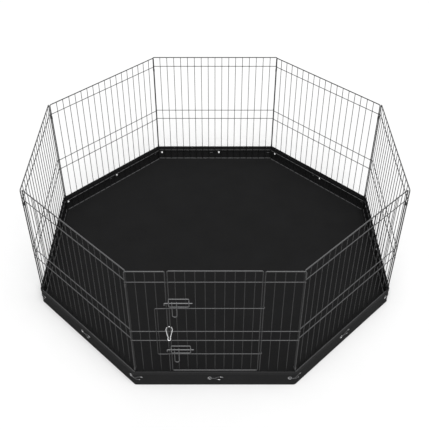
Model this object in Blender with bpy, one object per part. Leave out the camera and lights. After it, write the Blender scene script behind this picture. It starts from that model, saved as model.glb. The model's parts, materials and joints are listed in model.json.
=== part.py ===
"""Folding octagonal wire pet playpen with a hinged door and a fabric mat.

Eight welded wire panels stand in a ring on a fabric floor with a low skirt. At each corner the two
neighbouring posts stand one inside the other and flat steel clips wrap both: a clip is fast on the post of
the panel before it, going clockwise, and the next panel turns in it on its own first post. The panel at -Y
holds the door. Metres, +Z up, origin on the floor at the centre of the octagon.
"""

import math

import bmesh
import bpy
from mathutils import Matrix, Vector

# --- driving dimensions ---------------------------------------------------------------------------
SIDES = 8
PANEL_W = 0.608  # between the centre lines of a panel's two end posts
PANEL_H = 0.610  # overall height of a panel
BAYS = 18  # spaces between vertical wires across a panel
PITCH = PANEL_W / BAYS
POST_GAP = 0.00666  # between the two posts at a corner, centre to centre
CLEAR = 0.0003  # gap between pieces that touch

FRAME_R = 0.0020  # outer rod of every panel
CROSS_R = 0.0015  # horizontal wires
UPRIGHT_R = 0.00125  # vertical wires
CORNER_R = 0.006  # bend of the outer rod at the panel's corners
CROSS_OUT = 0.0014  # horizontal wires lie towards the outside of the panel
UPRIGHT_IN = 0.00165  # vertical wires lie towards the inside
CROSS_END = 0.0018  # horizontal wires run this far past the outer rod's centre line
UPRIGHT_END = 0.0006  # and vertical wires this far
CROSS_HEIGHTS = (0.055, 0.256, 0.306, 0.559)  # above the bottom of the panel

# Mat
FLOOR_T = 0.0015
SKIRT_T = 0.0010
SKIRT_TOP = 0.0765
SKIRT_IN = 0.0046  # from the panels' plane to the inside of the skirt
SKIRT_CORNER_R = 0.014
PEN_Z = FLOOR_T + CLEAR  # the panels stand on the mat

# Door, measured along the front panel from its right-hand post
HINGE_POST = 4 * PITCH
HINGE_GAP = 0.008
LATCH_POST = 14 * PITCH
LATCH_GAP = 0.009
DOOR_BOTTOM = 0.080  # centre line of the door's bottom rail, above the bottom of the panel
DOOR_RISE = 0.0025  # the door's top rail stands this much above the fixed ones
SILL_Z = 0.055

# Stop loop: a C of wire on the door. Its closed end reaches past the latch post, and the ends of its
# arms wrap the fixed post at the other side, which makes them the door's hinges.
LOOP_R = 0.0015
LOOP_TOP = 0.431
LOOP_BOTTOM = 0.182
LOOP_REACH = 0.0505
LOOP_BEND = 0.005
LOOP_STEP = 0.010  # the arms step outwards this far past the fixed post
LOOP_WRAP = 230.0  # degrees that each arm's other end wraps the fixed post at the hinge side

# Sliding bolts
BOLT_R = 0.00175
BOLT_PAST = 0.0075  # how far a bolt's tip reaches past the latch post
BOLT_DROP = 0.0115  # bent end of a bolt, below its centre line
BOLT_BEND = 0.003
BOLT_L = 0.0985
BOLT_HEIGHTS = {"upper": LOOP_TOP + 0.027, "lower": LOOP_BOTTOM + 0.025}
BRACKET_W = 0.071
BRACKET_H = 0.040
BRACKET_R = 0.0014
BRACKET_BEND = 0.005
BRACKET_OVER = 0.001  # the bracket's left side stands this far past the latch post's centre line
BOW_NEAR, BOW_FAR = 0.3, 0.62  # where a bracket's side is fully bowed, and where the bow starts
BOW_START = 0.25  # share of the full bow where it starts
HANDLE_R = 0.00125
HANDLE_W = 0.0165
HANDLE_DROP = 0.066
HANDLE_FROM_TIP = 0.0355  # middle of the handle, from the bolt's tip
HANDLE_WRAP = 240.0  # degrees that each end wraps the bolt
HANDLE_FLARE = 0.001  # the handle's foot is rounder than a half circle by this much

# Clips
CLIP_T = 0.0008
CLIP_H = 0.014
CLIP_BORE_R = 0.00235
CLIP_HEIGHTS = {"upper": 0.541, "lower": 0.088}
CLOSING_HEIGHTS = {"upper": 0.590, "lower": 0.088}
CLOSING_H = 0.020

# Snap hook round the door's latch-side post and the fixed post beside it
HOOK_WIRE_R = 0.0016
HOOK_ARC_R = 0.0115
HOOK_ARC = 204.0  # degrees of the wide arc, from the spine to the nose
HOOK_LENGTH = 0.0295  # from the middle of the wide arc to the waist
HOOK_WAIST = 0.0046
HOOK_WAIST_UP = 0.004  # the spine ends this far above the waist
HOOK_EYE_R = 0.0052
HOOK_EYE_DROP = 0.9  # middle of the eye below the waist, in eye radii
HOOK_EYE_ENDS = (50, -230)  # degrees
HOOK_HEEL = (0.0006, 0.0045)  # the gate's hinge, out from the waist and up from it
HOOK_TILT = 33.0  # degrees out of the door's plane
HOOK_HEIGHT = 0.3165  # where the two posts pass through the hook
HOOK_CROSSING = 0.002  # the same place, above the middle of the wide arc
GATE_R = 0.0014
GATE_GAP = 0.0011  # at each end of the closed gate

# Mat ties: hairpins of coated wire
TIE_R = 0.0010
TIE_EYE_R = 0.0042
TIE_LEFT = -0.0245
TIE_RIGHT = 0.0300
TIE_SHORT = 0.0190  # end of the lower leg
TIE_SPREAD = 0.0085
TIE_NECK = 0.004  # from the eye's middle to where the legs come together
TIE_PINCH = 0.0016  # half the space between the legs there
TIE_FORK = 0.006  # where the legs are half spread
TIE_CREST = 0.023  # top of the upper leg's curve
TIE_HOOK = 0.003  # drop from the crest to the upper leg's end
TIE_STEP = 0.006  # longest straight stretch of a tie that bends round a corner
TIE_Z = 0.040

FLOOR_MARGIN = 0.0004  # the floor's edge outside the skirt

HALF_TURN = math.radians(180 / SIDES)
POST_IN = POST_GAP * math.cos(HALF_TURN)  # a diagonal panel's post, behind its neighbour's plane
POST_BACK = POST_GAP * math.sin(HALF_TURN)  # and back from its neighbour's end
OUTER_APOTHEM = PANEL_W / 2 + PANEL_W / math.sqrt(2) + POST_IN - POST_BACK
INNER_APOTHEM = (OUTER_APOTHEM - POST_IN + PANEL_W / 2 - POST_BACK) / math.sqrt(2)

PANEL_NAMES = (
    "front",
    "left_front",
    "left",
    "left_back",
    "back",
    "right_back",
    "right",
    "right_front",
)


# --- scene and materials --------------------------------------------------------------------------
def clear_scene():
    for thing in list(bpy.data.objects):
        bpy.data.objects.remove(thing, do_unlink=True)


def material(name, colour, roughness, metallic=0.0):
    made = bpy.data.materials.get(name) or bpy.data.materials.new(name)
    made.use_nodes = True
    shader = made.node_tree.nodes["Principled BSDF"]
    shader.inputs["Base Color"].default_value = (*colour, 1.0)
    shader.inputs["Roughness"].default_value = roughness
    shader.inputs["Metallic"].default_value = metallic
    return made


def black_wire():
    return material("black_coated_wire", (0.012, 0.012, 0.013), 0.38)


def zinc():
    return material("zinc_plate", (0.55, 0.56, 0.57), 0.32, 1.0)


def mat_fabric():
    return material("mat_fabric", (0.014, 0.014, 0.015), 0.85)


def tie_coating():
    return material("tie_coating", (0.05, 0.05, 0.052), 0.45)


def add_object(name, mesh, frame, look):
    thing = bpy.data.objects.new(name, mesh)
    thing.matrix_world = frame
    bpy.context.scene.collection.objects.link(thing)
    if not mesh.materials:
        mesh.materials.append(look)
    return thing


# --- mesh building --------------------------------------------------------------------------------
def arc(centre, radius, start, end, count, u=Vector((1, 0, 0)), v=Vector((0, 0, 1))):
    """Points on an arc in the plane of u and v, with angles in degrees."""
    angles = [math.radians(start + (end - start) * i / count) for i in range(count + 1)]
    return [centre + u * radius * math.cos(a) + v * radius * math.sin(a) for a in angles]


def rounded_rectangle(left, right, bottom, top, bend, steps=3):
    """A closed loop in the XZ plane."""
    corners = (
        (right - bend, top - bend, 90, 0),
        (right - bend, bottom + bend, 0, -90),
        (left + bend, bottom + bend, -90, -180),
        (left + bend, top - bend, 180, 90),
    )
    points = []
    for x, z, start, end in corners:
        points += arc(Vector((x, 0, z)), bend, start, end, steps)
    return points


def sweep(bm, points, radius, sides=6, closed=False, up=None):
    """A round rod along the points. `up` fixes the section's roll, which is otherwise carried along."""
    count = len(points)
    rings = []
    carried = None
    for i, point in enumerate(points):
        before = points[i - 1] if closed or i else point
        after = points[(i + 1) % count] if closed or i < count - 1 else point
        into = (point - before).normalized() if point != before else (after - point).normalized()
        out = (after - point).normalized() if after != point else into
        along = (into + out).normalized()
        if up is not None:
            side = up.cross(along).normalized()
        else:
            if carried is None:
                carried = along.orthogonal().normalized()
            side = (carried - along * carried.dot(along)).normalized()
            carried = side
        other = along.cross(side)
        stretch = 1 / max(0.5, along.dot(into))
        bend_way = (out - into).normalized() if (out - into).length > 1e-6 else None
        ring = []
        for k in range(sides):
            turn = 2 * math.pi * (k + 0.5) / sides
            offset = side * radius * math.cos(turn) + other * radius * math.sin(turn)
            if bend_way:
                offset += bend_way * offset.dot(bend_way) * (stretch - 1)
            ring.append(bm.verts.new(point + offset))
        rings.append(ring)
    pairs = list(zip(rings, rings[1:] + rings[:1])) if closed else list(zip(rings, rings[1:]))
    for first, second in pairs:
        for k in range(sides):
            n = (k + 1) % sides
            bm.faces.new((first[k], first[n], second[n], second[k]))
    if not closed:
        bm.faces.new(rings[0][::-1])
        bm.faces.new(rings[-1])


def extrude_outline(bm, outline, opening, low, high):
    """A band between two closed outlines with the same number of points, from low to high in Z."""
    levels = []
    for z in (low, high):
        outer = [bm.verts.new((x, y, z)) for x, y in outline]
        inner = [bm.verts.new((x, y, z)) for x, y in opening]
        levels.append((outer, inner))
    (outer0, inner0), (outer1, inner1) = levels
    count = len(outline)
    for i in range(count):
        n = (i + 1) % count
        bm.faces.new((outer0[i], outer0[n], outer1[n], outer1[i]))
        bm.faces.new((inner0[n], inner0[i], inner1[i], inner1[n]))
        bm.faces.new((outer1[i], outer1[n], inner1[n], inner1[i]))
        bm.faces.new((outer0[n], outer0[i], inner0[i], inner0[n]))


def finish_mesh(bm, name):
    bmesh.ops.recalc_face_normals(bm, faces=bm.faces)
    mesh = bpy.data.meshes.new(name)
    bm.to_mesh(mesh)
    bm.free()
    return mesh


def welded(name, base, added):
    """The union of two meshes: the wires of `added` don't touch each other, only the base."""
    first = bpy.data.objects.new("weld_base", base)
    second = bpy.data.objects.new("weld_added", added)
    for thing in (first, second):
        bpy.context.scene.collection.objects.link(thing)
    weld = first.modifiers.new("weld", "BOOLEAN")
    weld.operation = "UNION"
    weld.solver = "EXACT"
    weld.object = second
    bpy.context.view_layer.update()
    graph = bpy.context.evaluated_depsgraph_get()
    mesh = bpy.data.meshes.new_from_object(first.evaluated_get(graph))
    mesh.name = name
    for thing in (first, second):
        bpy.data.objects.remove(thing, do_unlink=True)
    return mesh


def shade(mesh):
    mesh.shade_smooth()
    mesh.set_sharp_from_angle(angle=math.radians(50))


# --- frames ---------------------------------------------------------------------------------------
def heading(index):
    """Direction of a panel, going clockwise round the pen from the front right corner."""
    return math.pi - 2 * HALF_TURN * index


def panel_frame(index):
    """A panel's own axes: X along it, Y outwards, Z up, origin at the foot of its first post."""
    turn = heading(index)
    along = Vector((math.cos(turn), math.sin(turn), 0))
    outward = Vector((-math.sin(turn), math.cos(turn), 0))
    apothem = INNER_APOTHEM if index % 2 else OUTER_APOTHEM
    start = outward * apothem - along * PANEL_W / 2 + Vector((0, 0, PEN_Z))
    return Matrix.Translation(start) @ Matrix.Rotation(turn, 4, "Z")


def link_frame(index):
    """The clip after a panel: origin on that panel's last post, X towards the next panel's first post."""
    last_post = panel_frame(index) @ Vector((PANEL_W, 0, 0))
    next_post = panel_frame((index + 1) % SIDES) @ Vector((0, 0, 0))
    along = next_post - last_post
    return Matrix.Translation(last_post) @ Matrix.Rotation(math.atan2(along.y, along.x), 4, "Z")


def front_frame(x=0.0, y=0.0, z=0.0):
    return panel_frame(0) @ Matrix.Translation((x, y, z))


# --- wire panels ----------------------------------------------------------------------------------
def grille_mesh(name, left, right, bottom, top, uprights, crosses):
    """A rod frame with vertical and horizontal wires. The wires pass each other without touching."""
    frame = bmesh.new()
    loop = rounded_rectangle(left, right, bottom, top, CORNER_R)
    sweep(frame, loop, FRAME_R, closed=True, up=Vector((0, 1, 0)))
    wires = bmesh.new()
    for x in uprights:
        ends = [Vector((x, -UPRIGHT_IN, z)) for z in (bottom - UPRIGHT_END, top + UPRIGHT_END)]
        sweep(wires, ends, UPRIGHT_R, sides=4, up=Vector((0, 1, 0)))
    for z in crosses:
        ends = [Vector((x, CROSS_OUT, z)) for x in (left - CROSS_END, right + CROSS_END)]
        sweep(wires, ends, CROSS_R, up=Vector((0, 1, 0)))
    mesh = welded(name, finish_mesh(frame, name + "_frame"), finish_mesh(wires, name + "_wires"))
    shade(mesh)
    return mesh


def add_panels():
    uprights = [PITCH * i for i in range(1, BAYS)]
    mesh = grille_mesh(
        "wire_panel", 0, PANEL_W, FRAME_R, PANEL_H - FRAME_R, uprights, CROSS_HEIGHTS
    )
    for index in range(1, SIDES):
        add_object("panel_" + PANEL_NAMES[index], mesh, panel_frame(index), black_wire())


def add_front_frame():
    sides = (
        ("front_grille_right", 0, HINGE_POST, range(1, 4)),
        ("front_grille_left", LATCH_POST, PANEL_W, range(15, BAYS)),
    )
    for name, start, end, lines in sides:
        mesh = grille_mesh(
            name,
            start,
            end,
            FRAME_R,
            PANEL_H - FRAME_R,
            [PITCH * i for i in lines],
            CROSS_HEIGHTS,
        )
        add_object(name, mesh, front_frame(), black_wire())
    add_sill()


def add_sill():
    """Bottom rail and lower wire under the door, between the two fixed posts."""
    start = HINGE_POST + FRAME_R + CLEAR
    end = LATCH_POST - FRAME_R - CLEAR
    rails = bmesh.new()
    foot = [Vector((x, 0, FRAME_R)) for x in (start, end)]
    sweep(rails, foot, FRAME_R, up=Vector((0, 1, 0)))
    top = [Vector((x, 0, SILL_Z)) for x in (start, end)]
    sweep(rails, top, CROSS_R, up=Vector((0, 1, 0)))
    posts = bmesh.new()
    for i in range(5, 14):
        ends = [Vector((PITCH * i, 0, z)) for z in (FRAME_R, SILL_Z)]
        sweep(posts, ends, UPRIGHT_R, sides=4, up=Vector((0, 1, 0)))
    mesh = welded("front_sill", finish_mesh(rails, "sill_rails"), finish_mesh(posts, "sill_posts"))
    shade(mesh)
    add_object("front_sill", mesh, front_frame(), black_wire())


# --- door -----------------------------------------------------------------------------------------
def door_width():
    return LATCH_POST - LATCH_GAP - (HINGE_POST + HINGE_GAP)


def door_frame(x=0.0, y=0.0, z=0.0):
    """The door's axes: origin on its hinge post, X towards the latch, Y outwards."""
    return front_frame(HINGE_POST + HINGE_GAP + x, y, z)


def add_door():
    first = HINGE_POST + HINGE_GAP
    mesh = grille_mesh(
        "door_grille",
        0,
        door_width(),
        DOOR_BOTTOM,
        PANEL_H - FRAME_R + DOOR_RISE,
        [PITCH * i - first for i in range(5, 14)],
        CROSS_HEIGHTS[1:],
    )
    add_object("door_grille", mesh, door_frame(), black_wire())
    add_stop_loop()


def add_stop_loop():
    """A C of wire on the outside of the door. Its closed end steps out over the fixed wires."""
    on_door = FRAME_R + CLEAR + LOOP_R
    on_grille = CROSS_OUT + CROSS_R + CLEAR + LOOP_R
    end = door_width() + LOOP_REACH
    step = door_width() + LATCH_GAP + LOOP_STEP
    outwards = Vector((0, 1, 0))
    eyes = [
        arc(Vector((-HINGE_GAP, 0, z)), on_door, 90 + LOOP_WRAP, 90, 8, v=outwards)
        for z in (LOOP_TOP, LOOP_BOTTOM)
    ]
    points = eyes[0] + [Vector((step, on_door, LOOP_TOP))]
    points += arc(Vector((end - LOOP_BEND, on_grille, LOOP_TOP - LOOP_BEND)), LOOP_BEND, 90, 0, 3)
    points += arc(Vector((end - LOOP_BEND, on_grille, LOOP_BOTTOM + LOOP_BEND)), LOOP_BEND, 0, -90, 3)
    points += [Vector((step, on_door, LOOP_BOTTOM))] + eyes[1][::-1]
    bm = bmesh.new()
    sweep(bm, points, LOOP_R)
    mesh = finish_mesh(bm, "door_stop_loop")
    shade(mesh)
    add_object("door_stop_loop", mesh, door_frame(), black_wire())


# --- sliding bolts --------------------------------------------------------------------------------
def bolt_tip():
    return door_width() + LATCH_GAP + BOLT_PAST


def bolt_line():
    """Distance of a bolt's centre line from the door's plane, clear of the horizontal wires."""
    return CROSS_OUT + CROSS_R + CLEAR + BOLT_R


def bolt_points():
    """From the bent tip along the straight run, which starts at the origin and goes to -X."""
    bend = Vector((-BOLT_BEND, 0, -BOLT_BEND))
    return [Vector((0, 0, -BOLT_DROP))] + arc(bend, BOLT_BEND, 0, 90, 3) + [Vector((-BOLT_L, 0, 0))]


def bracket_points():
    """A rectangle of wire whose two short sides bow outwards to let the bolt through."""
    flat = FRAME_R + CLEAR + BRACKET_R
    bow = bolt_line() + BOLT_R + CLEAR + BRACKET_R - flat
    half = BRACKET_H / 2
    straight = half - BRACKET_BEND
    points = []
    for x, way in ((BRACKET_W / 2, -1), (-BRACKET_W / 2, 1)):
        inner = x - math.copysign(BRACKET_BEND, x)
        turns = (90, 0) if way < 0 else (-90, -180)
        points += arc(Vector((inner, flat, -way * straight)), BRACKET_BEND, *turns, 2)
        for share in (-BOW_FAR, -BOW_NEAR, BOW_NEAR, BOW_FAR):
            out = bow if abs(share) < BOW_FAR else bow * BOW_START
            points.append(Vector((x, flat + out, way * share * straight)))
        turns = (0, -90) if way < 0 else (180, 90)
        points += arc(Vector((inner, flat, way * straight)), BRACKET_BEND, *turns, 2)
    return points


def handle_points():
    """A U of wire that hangs from the bolt, each end wrapped round it. The bolt runs along X."""
    wrap = BOLT_R + CLEAR + HANDLE_R
    sideways = Vector((0, 1, 0))
    upwards = Vector((0, 0, 1))
    half = HANDLE_W / 2
    ends = []
    for x in (-half, half):
        ends.append(arc(Vector((x, 0, 0)), wrap, HANDLE_WRAP, 0, 6, sideways, upwards))
    bend = half - HANDLE_FLARE
    low = arc(Vector((0, wrap, -HANDLE_DROP + bend)), half, 180, 360, 6)
    return ends[0] + low + ends[1][::-1]


def add_bolts():
    for level, z in BOLT_HEIGHTS.items():
        tip = bolt_tip()
        bolt = bmesh.new()
        sweep(bolt, bolt_points(), BOLT_R, up=Vector((0, 1, 0)))
        mesh = finish_mesh(bolt, "bolt_" + level)
        shade(mesh)
        frame = door_frame(tip, bolt_line(), z)
        add_object("latch_bolt_" + level, mesh, frame, black_wire())

        bracket = bmesh.new()
        sweep(bracket, bracket_points(), BRACKET_R, closed=True, up=Vector((0, 1, 0)))
        mesh = finish_mesh(bracket, "latch_bracket_" + level)
        shade(mesh)
        middle = door_width() - BRACKET_W / 2 + BRACKET_OVER
        frame = door_frame(middle, 0, z)
        add_object("latch_bracket_" + level, mesh, frame, black_wire())

        handle = bmesh.new()
        sweep(handle, handle_points(), HANDLE_R)
        mesh = finish_mesh(handle, "latch_handle_" + level)
        shade(mesh)
        frame = door_frame(tip - HANDLE_FROM_TIP, bolt_line(), z)
        add_object("latch_handle_" + level, mesh, frame, black_wire())


# --- clips ----------------------------------------------------------------------------------------
def clip_outline(radius, gap, steps=5):
    """A stadium round two posts, the first at the origin and the second at +X."""
    points = []
    for centre, start in ((gap, -90), (0, 90)):
        for i in range(steps + 1):
            turn = math.radians(start + 180 * i / steps)
            points.append((centre + radius * math.cos(turn), radius * math.sin(turn)))
    return points


def clip_mesh(name, gap, height):
    bm = bmesh.new()
    bore = CLIP_BORE_R / math.cos(math.radians(18))
    outer = clip_outline(CLIP_BORE_R + CLIP_T, gap)
    inner = clip_outline(bore, gap)
    extrude_outline(bm, outer, inner, -height / 2, height / 2)
    return finish_mesh(bm, name)


def add_corner_clips():
    mesh = clip_mesh("corner_clip", POST_GAP, CLIP_H)
    for index in range(SIDES - 1):
        corner = PANEL_NAMES[index] + "_to_" + PANEL_NAMES[index + 1]
        for level, z in CLIP_HEIGHTS.items():
            frame = link_frame(index) @ Matrix.Translation((0, 0, z))
            add_object("clip_" + level + "_" + corner, mesh, frame, black_wire())


def closing_outline(steps=5):
    """A strip wrapped on the front panel's post, with a half-round seat for the last panel's post.

    The front panel's post is at the origin and the last panel's at +X; the seat is open towards -Y,
    the way that the last panel leaves when the pen is folded.
    """
    outer = []
    inner = []
    for centre, start, end, count in ((0.0, -90, -270, steps), (POST_GAP, 90, 0, 3)):
        bore = CLIP_BORE_R / math.cos(math.radians((end - start) / 2 / count))
        for i in range(count + 1):
            turn = math.radians(start + (end - start) * i / count)
            outside = CLIP_BORE_R + CLIP_T
            outer.append((centre + outside * math.cos(turn), outside * math.sin(turn)))
            inner.append((centre + bore * math.cos(turn), bore * math.sin(turn)))
    return outer + inner[::-1]


def add_closing_clips():
    """Spring clips at the front right corner, where the ring of panels opens."""
    outline = closing_outline()
    corner = panel_frame(0).translation
    last_post = panel_frame(SIDES - 1) @ Vector((PANEL_W, 0, 0))
    along = last_post - corner
    turn = Matrix.Rotation(math.atan2(along.y, along.x), 4, "Z")
    for level, z in CLOSING_HEIGHTS.items():
        height = CLOSING_H if level == "upper" else CLIP_H
        bm = bmesh.new()
        rings = [[bm.verts.new((x, y, s * height / 2)) for x, y in outline] for s in (-1, 1)]
        bm.faces.new(rings[0][::-1])
        bm.faces.new(rings[1])
        for i in range(len(outline)):
            n = (i + 1) % len(outline)
            bm.faces.new((rings[0][i], rings[0][n], rings[1][n], rings[1][i]))
        mesh = finish_mesh(bm, "closing_clip_" + level)
        frame = Matrix.Translation(corner + Vector((0, 0, z))) @ turn
        add_object("closing_clip_" + level, mesh, frame, black_wire())


# --- snap hook ------------------------------------------------------------------------------------
def hook_points():
    """The hook's wire, from its nose over the wide arc, down the spine and round the small eye.

    X is across the hook and Z along it; the spine is at +X.
    """
    eye = Vector((0, 0, -HOOK_LENGTH - HOOK_EYE_R * HOOK_EYE_DROP))
    points = arc(Vector((0, 0, 0)), HOOK_ARC_R, HOOK_ARC, 0, 9)
    points += [Vector((HOOK_WAIST, 0, -HOOK_LENGTH + HOOK_WAIST_UP))]
    points += arc(eye, HOOK_EYE_R, *HOOK_EYE_ENDS, 8)
    points += [Vector((-HOOK_WAIST - HOOK_HEEL[0], 0, -HOOK_LENGTH + HOOK_HEEL[1]))]
    return points


def hook_frame():
    """The wide end is inside the pen, and the two posts pass through the hook."""
    slot = door_width() + LATCH_GAP / 2
    tilt = Matrix.Rotation(math.radians(HOOK_TILT), 4, "X")
    return door_frame(slot, 0, HOOK_HEIGHT) @ tilt @ Matrix.Translation((0, 0, -HOOK_CROSSING))


def add_snap_hook():
    body = bmesh.new()
    sweep(body, hook_points(), HOOK_WIRE_R, up=Vector((0, 1, 0)))
    mesh = finish_mesh(body, "snap_hook_body")
    shade(mesh)
    add_object("snap_hook_body", mesh, hook_frame(), zinc())

    nose = hook_points()[0]
    heel = hook_points()[-1]
    along = (nose - heel).normalized()
    start = heel + along * GATE_GAP
    end = nose - along * GATE_GAP
    gate = bmesh.new()
    sweep(gate, [Vector((0, 0, 0)), end - start], GATE_R, up=Vector((0, 1, 0)))
    mesh = finish_mesh(gate, "snap_hook_gate")
    shade(mesh)
    add_object("snap_hook_gate", mesh, hook_frame() @ Matrix.Translation(start), zinc())


# --- mat ------------------------------------------------------------------------------------------
def octagon(apothem, corner, steps=3):
    """Points round an octagon with rounded corners, clockwise from the front right corner."""
    points = []
    for index in range(SIDES):
        outward = heading(index) + math.pi / 2
        middle = (apothem - corner) / math.cos(HALF_TURN)
        towards = outward - HALF_TURN
        centre = Vector((math.cos(towards), math.sin(towards), 0)) * middle
        for i in range(steps + 1):
            turn = outward - 2 * HALF_TURN * i / steps
            points.append(centre + Vector((math.cos(turn), math.sin(turn), 0)) * corner)
    return points


def add_mat():
    outside = OUTER_APOTHEM + SKIRT_IN + SKIRT_T
    edge = [(p.x, p.y) for p in octagon(outside + FLOOR_MARGIN, SKIRT_CORNER_R)]
    floor = bmesh.new()
    rings = [[floor.verts.new((x, y, z)) for x, y in edge] for z in (0.0, FLOOR_T)]
    floor.faces.new(rings[0][::-1])
    floor.faces.new(rings[1])
    for i in range(len(edge)):
        n = (i + 1) % len(edge)
        floor.faces.new((rings[0][i], rings[0][n], rings[1][n], rings[1][i]))
    add_object("mat_floor", finish_mesh(floor, "mat_floor"), Matrix(), mat_fabric())

    skirt = bmesh.new()
    outer = [(p.x, p.y) for p in octagon(outside, SKIRT_CORNER_R)]
    inner = [(p.x, p.y) for p in octagon(outside - SKIRT_T, SKIRT_CORNER_R - SKIRT_T)]
    extrude_outline(skirt, outer, inner, PEN_Z, SKIRT_TOP)
    add_object("mat_skirt", finish_mesh(skirt, "mat_skirt"), Matrix(), mat_fabric())


def tie_points():
    """A hairpin in its own flat plane: X to the right as seen from outside, Z up."""
    eye = Vector((TIE_LEFT + TIE_EYE_R, 0, 0))
    neck = eye.x + TIE_NECK
    points = [Vector((TIE_SHORT, 0, -TIE_SPREAD)), Vector((TIE_FORK, 0, -TIE_SPREAD / 2))]
    points += [Vector((neck, 0, -TIE_PINCH))]
    points += arc(eye, TIE_EYE_R, -50, -310, 6)
    points += [Vector((neck, 0, TIE_PINCH)), Vector((TIE_FORK, 0, TIE_SPREAD / 2))]
    points += [Vector((TIE_CREST, 0, TIE_SPREAD)), Vector((TIE_RIGHT, 0, TIE_SPREAD - TIE_HOOK))]
    return points


def on_skirt(point, index, corner):
    """Lay a tie's point on the outside of the skirt, at the middle of a side or wrapped on a corner."""
    out = SKIRT_T + CLEAR + TIE_R
    outward = heading(index) + math.pi / 2
    flat = OUTER_APOTHEM + SKIRT_IN
    if not corner:
        normal = Vector((math.cos(outward), math.sin(outward), 0))
        along = Vector((-normal.y, normal.x, 0))
        return normal * (flat + out) + along * point.x + Vector((0, 0, TIE_Z + point.z))
    radius = SKIRT_CORNER_R - SKIRT_T
    middle = outward - HALF_TURN
    centre = Vector((math.cos(middle), math.sin(middle), 0)) * (flat - radius) / math.cos(HALF_TURN)
    reach = (radius + out) * HALF_TURN
    turn = max(-HALF_TURN, min(HALF_TURN, point.x / (radius + out)))
    normal = Vector((math.cos(middle + turn), math.sin(middle + turn), 0))
    along = Vector((-normal.y, normal.x, 0))
    extra = point.x - max(-reach, min(reach, point.x))
    return centre + normal * (radius + out) + along * extra + Vector((0, 0, TIE_Z + point.z))


def add_ties():
    for index in range(SIDES):
        for corner in (False, True):
            bm = bmesh.new()
            path = [on_skirt(point, index, corner) for point in tie_path(corner)]
            sweep(bm, path, TIE_R, sides=4)
            where = PANEL_NAMES[index] + ("_corner" if corner else "")
            name = "mat_tie_" + where
            mesh = finish_mesh(bm, name)
            shade(mesh)
            add_object(name, mesh, Matrix(), tie_coating())


def tie_path(corner):
    """A corner tie has more points, so that it can bend round the corner."""
    points = tie_points()
    if not corner:
        return points
    fine = [points[0]]
    for start, end in zip(points, points[1:]):
        count = max(1, math.ceil((end - start).length / TIE_STEP))
        fine += [start.lerp(end, (i + 1) / count) for i in range(count)]
    return fine


def main():
    clear_scene()
    add_mat()
    add_panels()
    add_front_frame()
    add_door()
    add_bolts()
    add_corner_clips()
    add_closing_clips()
    add_snap_hook()
    add_ties()


main()
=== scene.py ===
"""Folding octagonal wire pet playpen with a hinged door and a fabric mat, dressed for rendering.

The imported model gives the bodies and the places; every wire, strip and piece of cloth here is built
finer round the same centre lines. Metres, +Z up, the door faces -Y.
"""

import json
import math
import random

import bmesh
import bpy
from mathutils import Matrix, Vector, noise


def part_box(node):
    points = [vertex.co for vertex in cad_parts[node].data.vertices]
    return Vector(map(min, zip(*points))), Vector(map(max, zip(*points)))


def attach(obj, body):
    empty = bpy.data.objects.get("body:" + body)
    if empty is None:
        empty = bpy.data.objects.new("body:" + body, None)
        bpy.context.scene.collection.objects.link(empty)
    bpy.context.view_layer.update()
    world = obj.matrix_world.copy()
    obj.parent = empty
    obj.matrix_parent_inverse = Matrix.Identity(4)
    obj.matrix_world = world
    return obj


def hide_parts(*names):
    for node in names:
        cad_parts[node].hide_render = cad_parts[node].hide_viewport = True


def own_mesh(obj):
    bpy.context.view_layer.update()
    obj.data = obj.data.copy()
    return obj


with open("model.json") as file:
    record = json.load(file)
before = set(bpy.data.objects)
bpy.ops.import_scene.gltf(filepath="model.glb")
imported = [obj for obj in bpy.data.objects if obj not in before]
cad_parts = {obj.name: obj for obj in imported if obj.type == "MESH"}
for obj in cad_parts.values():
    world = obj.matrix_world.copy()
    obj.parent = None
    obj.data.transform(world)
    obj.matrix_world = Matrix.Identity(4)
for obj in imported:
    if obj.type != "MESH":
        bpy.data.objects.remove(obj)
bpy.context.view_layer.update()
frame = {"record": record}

# --- sizes, in metres -----------------------------------------------------------------------------
SIDES = 8
HALF_TURN = math.pi / SIDES
PANEL_H = 0.610
BAYS, HINGE_BAY, LATCH_BAY = 18, 4, 14  # spaces across a panel, and the bays that the door lies between
FRAME_R, CROSS_R, UPRIGHT_R = 0.0020, 0.0015, 0.00125
COAT, FRAME_COAT = 0.00017, 0.0003  # the coating stands out from the wires and the outer rod by this much
CORNER_R = 0.006
CROSS_OUT, UPRIGHT_IN = 0.0014, 0.00165  # horizontals lie outside the panel's plane and verticals inside
CROSS_END, UPRIGHT_END = 0.0018, 0.0002
UPRIGHT_BOW = 0.00022
CROSS_HEIGHTS = (0.055, 0.256, 0.306, 0.559)
CLEAR = 0.0003
PEN_Z = 0.0018

HINGE_GAP, LATCH_GAP = 0.008, 0.009
DOOR_BOTTOM, DOOR_RISE, SILL_Z = 0.080, 0.0025, 0.055
LOOP_R, LOOP_TOP, LOOP_BOTTOM, LOOP_REACH, LOOP_BEND = 0.0015, 0.431, 0.182, 0.0505, 0.005
LOOP_STEP, LOOP_WRAP = 0.010, 230.0
LOOP_RAMP = ((-0.012, 0), (-0.004, 0.35), (0.004, 0.9))  # (along from the step, share of the step outwards)
BOLT_R, BOLT_BEND = 0.00175, 0.003
BRACKET_W, BRACKET_H, BRACKET_R, BRACKET_BEND, BRACKET_OVER = 0.071, 0.040, 0.0014, 0.005, 0.001
BOW_REACH, BOW_FLAT, BOW_FADE = 0.78, 0.26, 0.5  # shares of a bracket's side: bowed, fully bowed, fading
BRACKET_WELD = 0.47  # height of a bracket's welds, as a share of its own height
HANDLE_R, HANDLE_W, HANDLE_DROP, HANDLE_WRAP, HANDLE_FLARE = 0.00125, 0.0165, 0.066, 240.0, 0.001
CLIP_T, CLIP_BORE_R, CLIP_SLIT, CLIP_PINCH = 0.0008, 0.00235, 0.0002, 0.00035
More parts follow.
